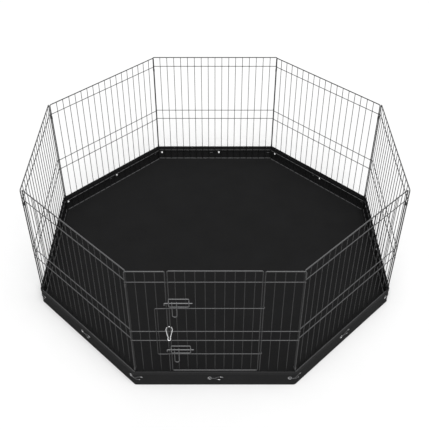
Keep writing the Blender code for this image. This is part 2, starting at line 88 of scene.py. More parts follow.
HOOK_WIRE_R, HOOK_ARC_R, HOOK_LENGTH, HOOK_WAIST, HOOK_EYE_R = 0.0016, 0.0115, 0.0295, 0.0046, 0.0052
HOOK_ARC, HOOK_EYE_ENDS, HOOK_EYE_DROP = 204.0, (50, -230), 0.9
HOOK_SHOULDER, HOOK_SHOULDER_AT = 0.0030, 0.55  # the spine bulges this much, at this share of its length
HOOK_WAIST_UP, HOOK_HEEL = 0.004, (0.0006, 0.0045)
HOOK_TILT, HOOK_HEIGHT, HOOK_CROSSING = 33.0, 0.3165, 0.002
NOSE_SIZE = (0.0019, 0.0021, 0.0019)
GATE_R, GATE_GAP, PIN_R, PIN_HALF, PIN_IN = 0.0014, 0.0011, 0.0007, 0.0019, 0.0012

SKIRT_IN, SKIRT_T, SKIRT_CORNER_R = 0.0046, 0.0010, 0.014
SKIRT_FOOT, FLOOR_MARGIN = 0.0016, 0.0004
TIE_R, TIE_EYE_X, TIE_RIGHT, TIE_SHORT, TIE_SPREAD, TIE_Z = 0.0010, -0.0203, 0.0300, 0.0190, 0.0085, 0.040
HOLE_R = 0.0056

# Weld nuggets: how far out of the panel's plane, and half-sizes along, through and up
WELDS = {
    "crossing": (-0.00025, (0.0017, 0.0011, 0.0017)),
    "rail": (-0.0012, (0.0019, 0.0012, 0.0016)),
    "post": (0.0010, (0.0017, 0.0013, 0.0020)),
    "sill_foot": (0.0, (0.0020, 0.0016, 0.0012)),
    "sill_top": (0.0, (0.0018, 0.0015, 0.0011)),
    "loop": (FRAME_R, (0.0021, 0.0010, 0.0016)),
    "bracket": (FRAME_R, (0.0016, 0.0010, 0.0022)),
}
WELD_SPREAD = (0.9, 1.12)

PANEL_NAMES = (
    "front", "left_front", "left", "left_back", "back", "right_back", "right", "right_front",
)
joints = {j["name"]: j for j in frame["record"]["behaviour"]["joints"]}
back_post = Vector(joints["turn_panel_back"]["pos_m"])
diagonal_post = Vector(joints["pen_fold"]["pos_m"])
PANEL_W = -2 * back_post.x
PITCH = PANEL_W / BAYS
OUTER_APOTHEM = back_post.y
INNER_APOTHEM = (-diagonal_post.x - diagonal_post.y) / math.sqrt(2)
HINGE_POST, LATCH_POST = HINGE_BAY * PITCH, LATCH_BAY * PITCH
DOOR_W = LATCH_POST - LATCH_GAP - HINGE_POST - HINGE_GAP
SKIRT_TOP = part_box("mat_skirt")[1][2]
FLOOR_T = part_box("mat_floor")[1][2]

UP = Vector((0, 0, 1))
OUT = Vector((0, 1, 0))
dice = random.Random(11)


# --- shader helpers -------------------------------------------------------------------------------
def new_material(name, **values):
    """A Principled material with values set on its own sockets, and its node tree for more."""
    made = bpy.data.materials.new(name)
    made.use_nodes = True
    tree = made.node_tree
    shader = tree.nodes["Principled BSDF"]
    for key, value in values.items():
        socket = shader.inputs[key.replace("_", " ")]
        socket.default_value = (*value, 1.0) if isinstance(value, tuple) else value
    return made, tree, shader


def add_noise(tree, vector, scale, detail=3.0, roughness=0.55):
    node = tree.nodes.new("ShaderNodeTexNoise")
    node.inputs["Scale"].default_value = scale
    node.inputs["Detail"].default_value = detail
    node.inputs["Roughness"].default_value = roughness
    tree.links.new(vector, node.inputs["Vector"])
    return node.outputs["Fac"]


def add_ramp(tree, fac, low, high, start, end):
    """A colour or grey ramp between two places of a factor."""
    node = tree.nodes.new("ShaderNodeValToRGB")
    for stop, place, value in zip(node.color_ramp.elements, (start, end), (low, high)):
        stop.position = place
        stop.color = (*value, 1.0) if isinstance(value, tuple) else (value, value, value, 1.0)
    tree.links.new(fac, node.inputs["Fac"])
    return node.outputs["Color"]


def add_math(tree, kind, first, second):
    node = tree.nodes.new("ShaderNodeMath")
    node.operation = kind
    for socket, value in zip(node.inputs, (first, second)):
        if isinstance(value, (int, float)):
            socket.default_value = value
        else:
            tree.links.new(value, socket)
    return node.outputs["Value"]


def add_mix(tree, fac, first, second):
    node = tree.nodes.new("ShaderNodeMix")
    node.data_type = "RGBA"
    tree.links.new(fac, node.inputs["Factor"])
    for name, value in (("A", first), ("B", second)):
        socket = next(s for s in node.inputs if s.name == name and s.type == "RGBA")
        if isinstance(value, tuple):
            socket.default_value = (*value, 1.0)
        else:
            tree.links.new(value, socket)
    return next(s for s in node.outputs if s.type == "RGBA")


def add_bump(tree, shader, heights):
    """Bump nodes in a row, one for each (height, strength, distance)."""
    normal = None
    for height, strength, distance in heights:
        node = tree.nodes.new("ShaderNodeBump")
        node.inputs["Strength"].default_value = strength
        node.inputs["Distance"].default_value = distance
        tree.links.new(height, node.inputs["Height"])
        if normal is not None:
            tree.links.new(normal, node.inputs["Normal"])
        normal = node.outputs["Normal"]
    tree.links.new(normal, shader.inputs["Normal"])


def object_coords(tree):
    return tree.nodes.new("ShaderNodeTexCoord").outputs["Object"]


def cloth_coords(tree):
    node = tree.nodes.new("ShaderNodeUVMap")
    node.uv_map = "cloth"
    return node.outputs["UV"]


def coated_wire(name, dark, light, roughness, painted_top_light):
    """Black dip coating: a little mottled, with the odd scuff, a faint orange peel, and a painted top
    light: faces turned up are painted lighter.
    """
    made, tree, shader = new_material(name, Specular_IOR_Level=0.28)
    place = object_coords(tree)
    mottle = add_noise(tree, place, 38.0, 4.0)
    colour = add_ramp(tree, mottle, dark, light, 0.35, 0.7)
    # Painted top light: faces that turn upwards are mixed towards a lighter grey, standing in for light
    # from above.
    facing = tree.nodes.new("ShaderNodeSeparateXYZ")
    tree.links.new(tree.nodes.new("ShaderNodeNewGeometry").outputs["Normal"], facing.inputs["Vector"])
    top_light_mask = add_ramp(tree, facing.outputs["Z"], 0.0, 1.0, 0.15, 0.85)
    colour = add_mix(tree, top_light_mask, colour, painted_top_light)
    scuff = add_ramp(tree, add_noise(tree, place, 160.0, 5.0, 0.7), 0.0, 1.0, 0.66, 0.74)
    colour = add_mix(tree, scuff, colour, tuple(min(1.0, c * 2.2) for c in light))
    tree.links.new(colour, shader.inputs["Base Color"])
    rough = add_ramp(tree, mottle, roughness - 0.07, roughness + 0.10, 0.3, 0.75)
    tree.links.new(rough, shader.inputs["Roughness"])
    peel = add_noise(tree, place, 900.0, 2.0)
    add_bump(tree, shader, [(peel, 0.25, 0.0002), (mottle, 0.15, 0.0004)])
    return made


def bright_zinc(name, colour, roughness):
    """Plated steel: clean metal with drawn streaks and slightly dull patches."""
    made, tree, shader = new_material(name, Metallic=1.0)
    place = object_coords(tree)
    patch = add_noise(tree, place, 120.0, 4.0)
    dull = tuple(c * 0.80 for c in colour)
    tree.links.new(add_ramp(tree, patch, dull, colour, 0.3, 0.62), shader.inputs["Base Color"])
    rough = add_ramp(tree, patch, roughness + 0.12, roughness, 0.3, 0.7)
    tree.links.new(rough, shader.inputs["Roughness"])
    grain = add_noise(tree, place, 1400.0, 3.0)
    add_bump(tree, shader, [(grain, 0.12, 0.0001)])
    return made


def woven(name, dark, light, thread, depth, roughness=0.86, crease=0.35):
    """Plain weave from the cloth's own coordinates, in metres, with soft handling marks and a painted
    highlight on the raised threads.
    """
    made, tree, shader = new_material(name, Specular_IOR_Level=0.04)
    place = cloth_coords(tree)
    split = tree.nodes.new("ShaderNodeSeparateXYZ")
    tree.links.new(place, split.inputs["Vector"])
    turn = 2 * math.pi / thread
    across = add_math(tree, "SINE", add_math(tree, "MULTIPLY", split.outputs["X"], turn), 0.0)
    along = add_math(tree, "SINE", add_math(tree, "MULTIPLY", split.outputs["Y"], turn), 0.0)
    weave = add_math(tree, "MULTIPLY", across, along)
    slub = add_noise(tree, place, 0.35 / thread, 4.0, 0.6)
    blotch = add_noise(tree, place, 7.0, 5.0, 0.6)
    colour = add_ramp(tree, blotch, dark, light, 0.3, 0.72)
    # Painted highlight: the raised threads of the weave are painted lighter than the sunk ones.
    painted_crown_light = add_ramp(tree, add_math(tree, "MULTIPLY_ADD", weave, 0.5), 0.0, 1.0, 0.1, 0.95)
    colour = add_mix(tree, painted_crown_light, colour, tuple(c * 1.25 for c in light))
    tree.links.new(colour, shader.inputs["Base Color"])
    rough = add_ramp(tree, slub, roughness - 0.08, min(1.0, roughness + 0.06), 0.3, 0.7)
    tree.links.new(rough, shader.inputs["Roughness"])
    layers = [(weave, depth, thread * 0.25), (slub, 0.3, thread * 0.3), (blotch, crease, 0.002)]
    add_bump(tree, shader, layers)
    return made


def grey(value):
    return (value, value, value * 1.02)


# The last grey of each coating is its painted top light, the colour that faces turned up are painted.
WIRE = coated_wire("black_coated_wire_finish", grey(0.013), grey(0.022), 0.34, grey(0.098))
LATCH = coated_wire("black_latch_finish", grey(0.075), grey(0.105), 0.32, grey(0.20))
STRIP = coated_wire("black_clip_finish", grey(0.020), grey(0.032), 0.38, grey(0.16))
ZINC = bright_zinc("zinc_plate_finish", (0.95, 0.955, 0.96), 0.30)
EYELET = bright_zinc("eyelet_finish", (0.55, 0.55, 0.56), 0.34)
CORD = coated_wire("tie_coating_finish", grey(0.03), grey(0.05), 0.5, grey(0.12))
TIP = bright_zinc("tie_tip_finish", (0.42, 0.42, 0.43), 0.36)
# The floor, skirt, binding and piping are lit and shaded copies of one dark cloth. The floor is painted
# darkest, the skirt lighter and the binding lighter still, and the piping is lightest as a painted
# highlight along the skirt's top edge.
FLOOR_CLOTH = woven("mat_floor_cloth", grey(0.0070), grey(0.0106), 0.0011, 0.5)
SKIRT_CLOTH = woven("mat_skirt_cloth", grey(0.0116), grey(0.0176), 0.0011, 0.6)
TAPE = woven("mat_binding_tape", grey(0.016), grey(0.023), 0.0016, 0.9, 0.78)
PIPING = woven("mat_piping", grey(0.026), grey(0.038), 0.0012, 0.7, 0.6)
THREAD = woven("mat_thread", grey(0.02), grey(0.035), 0.0005, 0.6, 0.7)


# --- mesh helpers ---------------------------------------------------------------------------------
# How a rod's end is rounded: (how far past the end, how thick), as shares of its radius
ROUNDED_END = ((0.45, 0.87), (0.977, 0.517))


def arc(centre, radius, start, end, count, u=Vector((1, 0, 0)), v=UP):
    angles = [math.radians(start + (end - start) * i / count) for i in range(count + 1)]
    return [centre + u * radius * math.cos(a) + v * radius * math.sin(a) for a in angles]


def smoothed(points, steps):
    """A Catmull-Rom curve through the points."""
    made = []
    for i in range(len(points) - 1):
        b, c = points[i], points[i + 1]
        a = points[i - 1] if i else b * 2 - c
        d = points[i + 2] if i + 2 < len(points) else c * 2 - b
        for k in range(steps):
            t = k / steps
            bend = (a * 2 - b * 5 + c * 4 - d) * t * t + (b * 3 - a - c * 3 + d) * t ** 3
            made.append((b * 2 + (c - a) * t + bend) / 2)
    return made + [points[-1]]


def join_rings(bm, rings, closed, slot=0):
    """Smooth faces between neighbouring rings of vertices, with a cap at each end of an open row.

    Returns the faces.
    """
    pairs = list(zip(rings, rings[1:]))
    if closed:
        pairs.append((rings[-1], rings[0]))
    faces = []
    for first, second in pairs:
        for k in range(len(first)):
            n = (k + 1) % len(first)
            faces.append(bm.faces.new((first[k], second[k], second[n], first[n])))
    if not closed:
        faces += [bm.faces.new(rings[0]), bm.faces.new(rings[-1][::-1])]
    for face in faces:
        face.smooth = True
        face.material_index = slot
    return faces


def tube(bm, points, radius, sides=10, closed=False, up=None, slot=0):
    """A round rod along the points, with rounded ends. `radius` is a number or one for each point."""
    points = list(points)
    radii = list(radius) if isinstance(radius, (list, tuple)) else [radius] * len(points)
    if not closed:
        back = (points[0] - points[1]).normalized() * radii[0]
        ahead = (points[-1] - points[-2]).normalized() * radii[-1]
        starts = [points[0] + back * past for past, _ in reversed(ROUNDED_END)]
        ends = [points[-1] + ahead * past for past, _ in ROUNDED_END]
        points = starts + points + ends
        thin = [radii[0] * size for _, size in reversed(ROUNDED_END)]
        radii = thin + radii + [radii[-1] * size for _, size in ROUNDED_END]
    count = len(points)
    rings = []
    carried = None
    for i, point in enumerate(points):
        before = points[i - 1] if closed or i else point
        after = points[(i + 1) % count] if closed or i < count - 1 else point
        into = (point - before).normalized() if i or closed else (after - point).normalized()
        out = (after - point).normalized() if closed or i < count - 1 else into
        along = (into + out).normalized()
        if up is not None:
            side = up.cross(along).normalized()
        else:
            carried = along.orthogonal() if carried is None else carried
            side = (carried - along * carried.dot(along)).normalized()
            carried = side
        other = along.cross(side)
        ring = []
        for k in range(sides):
            turn = 2 * math.pi * (k + 0.5) / sides
            offset = side * radii[i] * math.cos(turn) + other * radii[i] * math.sin(turn)
            ring.append(bm.verts.new(point + offset))
        rings.append(ring)
    join_rings(bm, rings, closed, slot)


def bead(bm, centre, size, segments=8, rings=5):
    """A squashed ball."""
    place = Matrix.Translation(centre) @ Matrix.Diagonal((*size, 1.0))
    made = bmesh.ops.create_uvsphere(bm, u_segments=segments, v_segments=rings, radius=1.0, matrix=place)
    for vert in made["verts"]:
        for face in vert.link_faces:
            face.smooth = True


def ribbon(bm, path, normals, thickness, height):
    """A flat strip with rounded edges, standing on edge along a path in the XY plane."""
    bend = thickness * 0.4
    flat_t, flat_h = thickness / 2 - bend, height / 2 - bend
    section = []
    for x, z, start in ((1, 1, 0), (-1, 1, 90), (-1, -1, 180), (1, -1, 270)):
        for k in range(3):
            turn = math.radians(start + 45 * k)
            section.append((x * flat_t + bend * math.cos(turn), z * flat_h + bend * math.sin(turn)))
    rings = [[bm.verts.new(p + n * t + UP * h) for t, h in section] for p, n in zip(path, normals)]
    join_rings(bm, rings, False)


def finish(bm, name, looks, sharp=45.0):
    bmesh.ops.recalc_face_normals(bm, faces=bm.faces)
    mesh = bpy.data.meshes.new(name)
    bm.to_mesh(mesh)
    bm.free()
    for look in looks:
        mesh.materials.append(look)
    mesh.set_sharp_from_angle(angle=math.radians(sharp))
    return mesh


def piece(name, mesh, place, body, stands_for):
    made = bpy.data.objects.new(name, mesh)
    made.matrix_world = place
    bpy.context.scene.collection.objects.link(made)
    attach(made, body)
    if stands_for:
        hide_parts(*stands_for)
    return made


# --- frames ---------------------------------------------------------------------------------------
def heading(index):
    return math.pi - 2 * HALF_TURN * index


def panel_frame(index):
    """X along the panel, Y outwards, origin at the foot of its first post."""
    turn = heading(index)
    along = Vector((math.cos(turn), math.sin(turn), 0))
    outward = Vector((-math.sin(turn), math.cos(turn), 0))
    apothem = INNER_APOTHEM if index % 2 else OUTER_APOTHEM
    start = outward * apothem - along * PANEL_W / 2 + Vector((0, 0, PEN_Z))
    return Matrix.Translation(start) @ Matrix.Rotation(turn, 4, "Z")


def between(first, second):
    """A frame at the first point with X towards the second, both at the same height."""
    along = second - first
    return Matrix.Translation(first) @ Matrix.Rotation(math.atan2(along.y, along.x), 4, "Z")


def door_frame(x=0.0, y=0.0, z=0.0):
    return panel_frame(0) @ Matrix.Translation((HINGE_POST + HINGE_GAP + x, y, z))


def local(frame_matrix, point):
    return frame_matrix.inverted() @ Vector(point)


# --- wire panels ----------------------------------------------------------------------------------
def rounded_rectangle(left, right, bottom, top, bend, steps):
    points = []
    for x, z, start in (
        (right - bend, top - bend, 90),
        (right - bend, bottom + bend, 0),
        (left + bend, bottom + bend, -90),
        (left + bend, top - bend, 180),
    ):
        points += arc(Vector((x, 0, z)), bend, start, start - 90, steps)
    return points


def weld(bm, kind, x, z):
    out, size = WELDS[kind]
    bead(bm, Vector((x, out, z)), [half * dice.uniform(*WELD_SPREAD) for half in size])


def bowed(x, bow, z, bottom, top):
    """X of an upright at a height, when its middle stands off the straight line by `bow`."""
    return x + bow * 4 * (z - bottom) * (top - z) / (top - bottom) ** 2


def grille(name, left, right, bottom, top, uprights, crosses):
    """A bent rod frame with spot-welded wires: horizontals outside, verticals inside."""
    bm = bmesh.new()
    outline = rounded_rectangle(left, right, bottom, top, CORNER_R, 8)
    tube(bm, outline, FRAME_R + FRAME_COAT, 14, True, OUT)
    rise = top - bottom
    stations = (bottom - UPRIGHT_END, bottom + rise * 0.33, bottom + rise * 0.66, top + UPRIGHT_END)
    for x in uprights:
        bow = dice.uniform(-UPRIGHT_BOW, UPRIGHT_BOW)
        run = [Vector((bowed(x, bow, z, bottom, top), -UPRIGHT_IN, z)) for z in stations]
        tube(bm, run, UPRIGHT_R + COAT, 10, up=OUT)
        for z in crosses:
            weld(bm, "crossing", bowed(x, bow, z, bottom, top), z)
        for z in (bottom, top):
            weld(bm, "rail", x, z)
    for z in crosses:
        ends = [Vector((x, CROSS_OUT, z)) for x in (left - CROSS_END, right + CROSS_END)]
        tube(bm, ends, CROSS_R + COAT, 10, up=OUT)
        for x in (left, right):
            weld(bm, "post", x, z)
    return finish(bm, name, [WIRE])


def uprights_between(first, last):
    """Places of the uprights strictly between two bay lines of a panel."""
    return [PITCH * i for i in range(first + 1, last)]


def add_panels():
    rails = FRAME_R, PANEL_H - FRAME_R
    mesh = grille("wire_panel", 0, PANEL_W, *rails, uprights_between(0, BAYS), CROSS_HEIGHTS)
    for index in range(1, SIDES):
        name = PANEL_NAMES[index]
        piece("wires_" + name, mesh, panel_frame(index), "panel_" + name, ["panel_" + name])
    for side, first, last in (("right", 0, HINGE_BAY), ("left", LATCH_BAY, BAYS)):
        lines = uprights_between(first, last)
        mesh = grille("front_" + side, first * PITCH, last * PITCH, *rails, lines, CROSS_HEIGHTS)
        node = "front_grille_" + side
        piece("wires_front_" + side, mesh, panel_frame(0), "front_frame", [node])


def add_sill():
    bm = bmesh.new()
    start = HINGE_POST + FRAME_R + CLEAR
    end = LATCH_POST - FRAME_R - CLEAR
    tube(bm, [Vector((x, 0, FRAME_R)) for x in (start, end)], FRAME_R, 14, up=OUT)
    tube(bm, [Vector((x, 0, SILL_Z)) for x in (start, end)], CROSS_R, 12, up=OUT)
    for x in uprights_between(HINGE_BAY, LATCH_BAY):
        tube(bm, [Vector((x, 0, z)) for z in (FRAME_R, SILL_Z)], UPRIGHT_R, 10, up=OUT)
        weld(bm, "sill_foot", x, FRAME_R * 1.7)
        weld(bm, "sill_top", x, SILL_Z - CROSS_R)
    mesh = finish(bm, "sill", [WIRE])
    piece("wires_sill", mesh, panel_frame(0), "front_frame", ["front_sill"])


# --- door -----------------------------------------------------------------------------------------
def add_door():
    first = HINGE_POST + HINGE_GAP
    top = PANEL_H - FRAME_R + DOOR_RISE
    lines = [x - first for x in uprights_between(HINGE_BAY, LATCH_BAY)]
    mesh = grille("door", 0, DOOR_W, DOOR_BOTTOM, top, lines, CROSS_HEIGHTS[1:])
    piece("wires_door", mesh, door_frame(), "door", ["door_grille"])

    on_door = FRAME_R + CLEAR + LOOP_R
    on_grille = CROSS_OUT + CROSS_R + CLEAR + LOOP_R
    end = DOOR_W + LOOP_REACH
    step = DOOR_W + LATCH_GAP + LOOP_STEP
    arms = []
    for z in (LOOP_TOP, LOOP_BOTTOM):
        arm = arc(Vector((-HINGE_GAP, 0, z)), on_door, 90 + LOOP_WRAP, 90, 24, v=OUT)
        arm += [Vector((x, on_door, z)) for x in (0.0, DOOR_W / 2)]
        for x, share in LOOP_RAMP:
            arm.append(Vector((step + x, on_door + (on_grille - on_door) * share, z)))
        arms.append(arm)
    points = arms[0]
    points += arc(Vector((end - LOOP_BEND, on_grille, LOOP_TOP - LOOP_BEND)), LOOP_BEND, 90, 0, 8)
    points += arc(Vector((end - LOOP_BEND, on_grille, LOOP_BOTTOM + LOOP_BEND)), LOOP_BEND, 0, -90, 8)
    points += arms[1][::-1]
    bm = bmesh.new()
    tube(bm, points, LOOP_R, 12)
    for z in (LOOP_TOP, LOOP_BOTTOM):
        for x in (0.0, DOOR_W):
            weld(bm, "loop", x, z)
    mesh = finish(bm, "stop_loop", [WIRE])
    piece("wire_stop_loop", mesh, door_frame(), "door", ["door_stop_loop"])


def bracket_points(flat, bow):
    """A rectangle of wire whose short sides bow outwards over the bolt."""
    straight = BRACKET_H / 2 - BRACKET_BEND
    steps = 12
    points = []
    for x, way in ((BRACKET_W / 2, -1), (-BRACKET_W / 2, 1)):
        inner = x - math.copysign(BRACKET_BEND, x)
        turns = (90, 0) if way < 0 else (-90, -180)
        points += arc(Vector((inner, flat, -way * straight)), BRACKET_BEND, *turns, 5)
        for i in range(steps + 1):
            share = BOW_REACH * (2 * i / steps - 1)
            fade = min(1.0, max(0.0, (abs(share) - BOW_FLAT) / BOW_FADE))
            lift = 0.5 + 0.5 * math.cos(math.pi * fade)
            points.append(Vector((x, flat + bow * lift, way * share * straight)))
        turns = (0, -90) if way < 0 else (180, 90)
        points += arc(Vector((inner, flat, way * straight)), BRACKET_BEND, *turns, 5)
    return points


def handle_points(wrap):
    """A U of wire, each end wrapped round the bolt, which runs along X."""
    half = HANDLE_W / 2
    ends = [arc(Vector((x, 0, 0)), wrap, HANDLE_WRAP, 0, 16, OUT, UP) for x in (-half, half)]
    foot = Vector((0, wrap, -HANDLE_DROP + half - HANDLE_FLARE))
    return ends[0] + arc(foot, half, 180, 360, 14) + ends[1][::-1]


def add_bolts():
    line = CROSS_OUT + CROSS_R + CLEAR + BOLT_R
    flat = FRAME_R + CLEAR + BRACKET_R
    bow = line + BOLT_R + CLEAR + BRACKET_R - flat
    place = door_frame()
    for level in ("upper", "lower"):
        low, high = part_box("latch_bolt_" + level)
        z = high[2] - BOLT_R * math.cos(math.pi / 6)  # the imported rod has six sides, one of them on top
        tip = Vector((local(place, (low[0], 0, 0)).x - BOLT_R, line, z - PEN_Z))
        far_x = local(place, (high[0], 0, 0)).x
        drop = high[2] - low[2] - BOLT_R
        rounded = BOLT_R * 0.85  # taken off each end, because tube() adds it
        points = [tip + Vector((0, 0, rounded - drop))]
        points += arc(tip + Vector((-BOLT_BEND, 0, -BOLT_BEND)), BOLT_BEND, 0, 90, 8)
        points += [Vector((far_x + rounded, line, tip.z))]
        bm = bmesh.new()
        tube(bm, points, BOLT_R, 14, up=OUT)
        mesh = finish(bm, "bolt_" + level, [LATCH])
        piece("bolt_rod_" + level, mesh, place, "bolt_" + level, ["latch_bolt_" + level])

        bm = bmesh.new()
        tube(bm, bracket_points(flat, bow), BRACKET_R, 12, True, OUT)
        middle = DOOR_W - BRACKET_W / 2 + BRACKET_OVER
        for side in (-1, 1):
            weld(bm, "bracket", DOOR_W - middle, side * BRACKET_H * BRACKET_WELD)
        mesh = finish(bm, "bracket_" + level, [LATCH])
        on_door = door_frame(middle, 0, tip.z)
        piece("bracket_wire_" + level, mesh, on_door, "door", ["latch_bracket_" + level])

        low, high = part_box("latch_handle_" + level)
        on_bolt = door_frame(local(place, ((low[0] + high[0]) / 2, 0, 0)).x, line, tip.z)
        bm = bmesh.new()
        tube(bm, handle_points(BOLT_R + CLEAR + HANDLE_R), HANDLE_R, 12)
        mesh = finish(bm, "handle_" + level, [LATCH])
        piece("handle_wire_" + level, mesh, on_bolt, "handle_" + level, ["latch_handle_" + level])


# --- clips ----------------------------------------------------------------------------------------
def strip_path(parts, radius):
    """Points and outward normals for arcs of one radius: each part is (centre x, start, end, steps)."""
    path = []
    normals = []
    for centre, start, end, steps in parts:
        for i in range(steps + 1):
            turn = math.radians(start + (end - start) * i / steps)
            out = Vector((math.cos(turn), math.sin(turn), 0))
            path.append(Vector((centre, 0, 0)) + out * radius)
            normals.append(out)
    return path, normals


def split_ring(name, gap, height):
    """A strip bent round two posts: its ends meet on one side, and it's pinched between the posts."""
    radius = CLIP_BORE_R + CLIP_T / 2
    steps = 12
    path, normals = strip_path(((gap, -90, 90, steps), (0.0, 90, 270, steps)), radius)
    middle = steps + 1
    path.insert(middle, Vector((gap / 2, radius, 0)))
    normals.insert(middle, OUT)
    path = [Vector((gap / 2 + CLIP_SLIT, -radius, 0))] + path + [Vector((gap / 2 - CLIP_SLIT, -radius, 0))]
    normals = [-OUT] + normals + [-OUT]
    for point in path:
        near = max(0.0, 1 - abs(point.x - gap / 2) / (gap / 2))
        point -= OUT * math.copysign(CLIP_PINCH, point.y) * near * near
    bm = bmesh.new()
    ribbon(bm, path, normals, CLIP_T, height)
    return finish(bm, name, [STRIP], 60)


def lift_and_height(node):
    """A clip's middle above the foot of the posts, and its height."""
    low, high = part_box(node)
    return Vector((0, 0, (low[2] + high[2]) / 2 - PEN_Z)), high[2] - low[2]


def add_clips():
    corner_gap = (panel_frame(1).translation - panel_frame(0) @ Vector((PANEL_W, 0, 0))).length
    _, height = lift_and_height("clip_upper_front_to_left_front")
    mesh = split_ring("corner_clip", corner_gap, height)
    for index in range(SIDES - 1):
        corner = PANEL_NAMES[index] + "_to_" + PANEL_NAMES[index + 1]
        body = "panel_" + PANEL_NAMES[index] if index else "front_frame"
        for level in ("upper", "lower"):
            node = "clip_" + level + "_" + corner
            lift, _ = lift_and_height(node)
            last = panel_frame(index) @ (Vector((PANEL_W, 0, 0)) + lift)
            place = between(last, panel_frame(index + 1) @ lift)
            piece("strip_" + level + "_" + corner, mesh, place, body, [node])
    for level in ("upper", "lower"):
        node = "closing_clip_" + level
        lift, height = lift_and_height(node)
        first = panel_frame(0) @ lift
        last = panel_frame(SIDES - 1) @ (Vector((PANEL_W, 0, 0)) + lift)
        arcs = ((0.0, -90, -270, 14), ((last - first).length, 90, 0, 8))
        path, normals = strip_path(arcs, CLIP_BORE_R + CLIP_T / 2)
        bm = bmesh.new()
        ribbon(bm, path, normals, CLIP_T, height)
        mesh = finish(bm, node, [STRIP], 60)
        piece("strip_closing_" + level, mesh, between(first, last), "front_frame", [node])


# --- snap hook ------------------------------------------------------------------------------------
def hook_points():
    """From the nose over the wide arc, down the spine and round the small eye. X is across the hook."""
    eye = Vector((0, 0, -HOOK_LENGTH - HOOK_EYE_R * HOOK_EYE_DROP))
    points = arc(Vector((0, 0, 0)), HOOK_ARC_R, HOOK_ARC, 0, 20)
    points += [Vector((HOOK_WAIST + HOOK_SHOULDER, 0, -HOOK_LENGTH * HOOK_SHOULDER_AT))]
    points += [Vector((HOOK_WAIST, 0, -HOOK_LENGTH + HOOK_WAIST_UP))]
    points += arc(eye, HOOK_EYE_R, *HOOK_EYE_ENDS, 18)
    points += [Vector((-HOOK_WAIST - HOOK_HEEL[0], 0, -HOOK_LENGTH + HOOK_HEEL[1]))]
    return points


def add_snap_hook():
    slot = DOOR_W + LATCH_GAP / 2
    tilt = Matrix.Rotation(math.radians(HOOK_TILT), 4, "X")
    place = door_frame(slot, 0, HOOK_HEIGHT) @ tilt @ Matrix.Translation((0, 0, -HOOK_CROSSING))
    wire = hook_points()
    nose, heel = wire[0], wire[-1]
    along = (nose - heel).normalized()
    bm = bmesh.new()
    tube(bm, wire, HOOK_WIRE_R, 16, up=OUT)
    bead(bm, nose, NOSE_SIZE, 14, 9)
    piece("hook_body", finish(bm, "hook_body", [ZINC]), place, "snap_hook", ["snap_hook_body"])

    start = heel + along * GATE_GAP
    end = nose - along * (GATE_GAP + HOOK_WIRE_R * 0.4)
    bm = bmesh.new()
    tube(bm, [start, start.lerp(end, 0.5), end], [GATE_R * 1.1, GATE_R, GATE_R * 0.95], 16, up=OUT)
    pin = start + along * PIN_IN
    tube(bm, [pin - OUT * PIN_HALF, pin + OUT * PIN_HALF], PIN_R, 12, up=UP)
    mesh = finish(bm, "hook_gate", [ZINC])
    piece("hook_gate", mesh, place, "snap_hook_gate", ["snap_hook_gate"])


# --- mat ------------------------------------------------------------------------------------------
SKIRT_ROWS = (SKIRT_FOOT, 0.004, 0.010, 0.018, 0.027, 0.036, 0.045, 0.054, 0.062, 0.069, SKIRT_TOP)
SKIRT_SPACING, SKIRT_BENDS = 0.011, 7
FLOOR_RINGS, FLOOR_SPACING = 46, 0.016
FLOOR_RIM = 0.985  # the floor's ripples level out from this share of the way to its edge
FOLD_LINES, FOLD_W = (-0.37, 0.0, 0.37), 0.006
TAPE_TOP, TAPE_BOTTOM = SKIRT_TOP + 0.0009, SKIRT_TOP - 0.0140
TAPE_HALF, TAPE_INNER, TAPE_ROLL = SKIRT_T / 2 + 0.00055, 0.00052, (0.0, 0.5, 1.05, 1.57, 2.09, 2.64, 3.14)
PIPING_R, PIPING_UP, WELT_R = 0.00125, 0.0007, 0.0015
STITCH_PITCH, STITCH_R = 0.0052, 0.00038
EDGE_DOWN = 0.004  # the bound edge leans as the skirt does this far below its top
EDGE_SEAM_DOWN, FOOT_SEAM_Z, FLOOR_SEAM_IN = 0.0112, 0.0075, 0.020


def octagon_path(apothem, corner, spacing, bend_steps):
    """(point, outward normal, distance along) round the octagon, clockwise from the front right corner."""
    found = []
    run = 0.0
    flat_half = (apothem - corner) * math.tan(HALF_TURN)
    for index in range(SIDES):
        outward = heading(index) + math.pi / 2
        towards = outward - HALF_TURN
        centre = Vector((math.cos(towards), math.sin(towards), 0))
        centre *= (apothem - corner) / math.cos(HALF_TURN)
        normal = Vector((math.cos(outward), math.sin(outward), 0))
        along = Vector((normal.y, -normal.x, 0))
        count = max(2, round(2 * flat_half / spacing))
        for i in range(count):
            share = -flat_half + 2 * flat_half * i / count
            found.append((normal * apothem + along * share, normal, run + share + flat_half))
        run += 2 * flat_half
        for i in range(bend_steps):
            turn = outward - 2 * HALF_TURN * i / bend_steps
            out = Vector((math.cos(turn), math.sin(turn), 0))
            found.append((centre + out * corner, out, run + corner * 2 * HALF_TURN * i / bend_steps))
        run += corner * 2 * HALF_TURN
    return found, run


def soft_noise(x, y, size, seed):
    return noise.noise(Vector((x / size, y / size, seed)))


def cloth_uv(bm, place):
    """Cloth coordinates, in metres, from where each vertex is."""
    uv = bm.loops.layers.uv.new("cloth")
    for face in bm.faces:
        for loop in face.loops:
            loop[uv].uv = place(loop.vert.co)


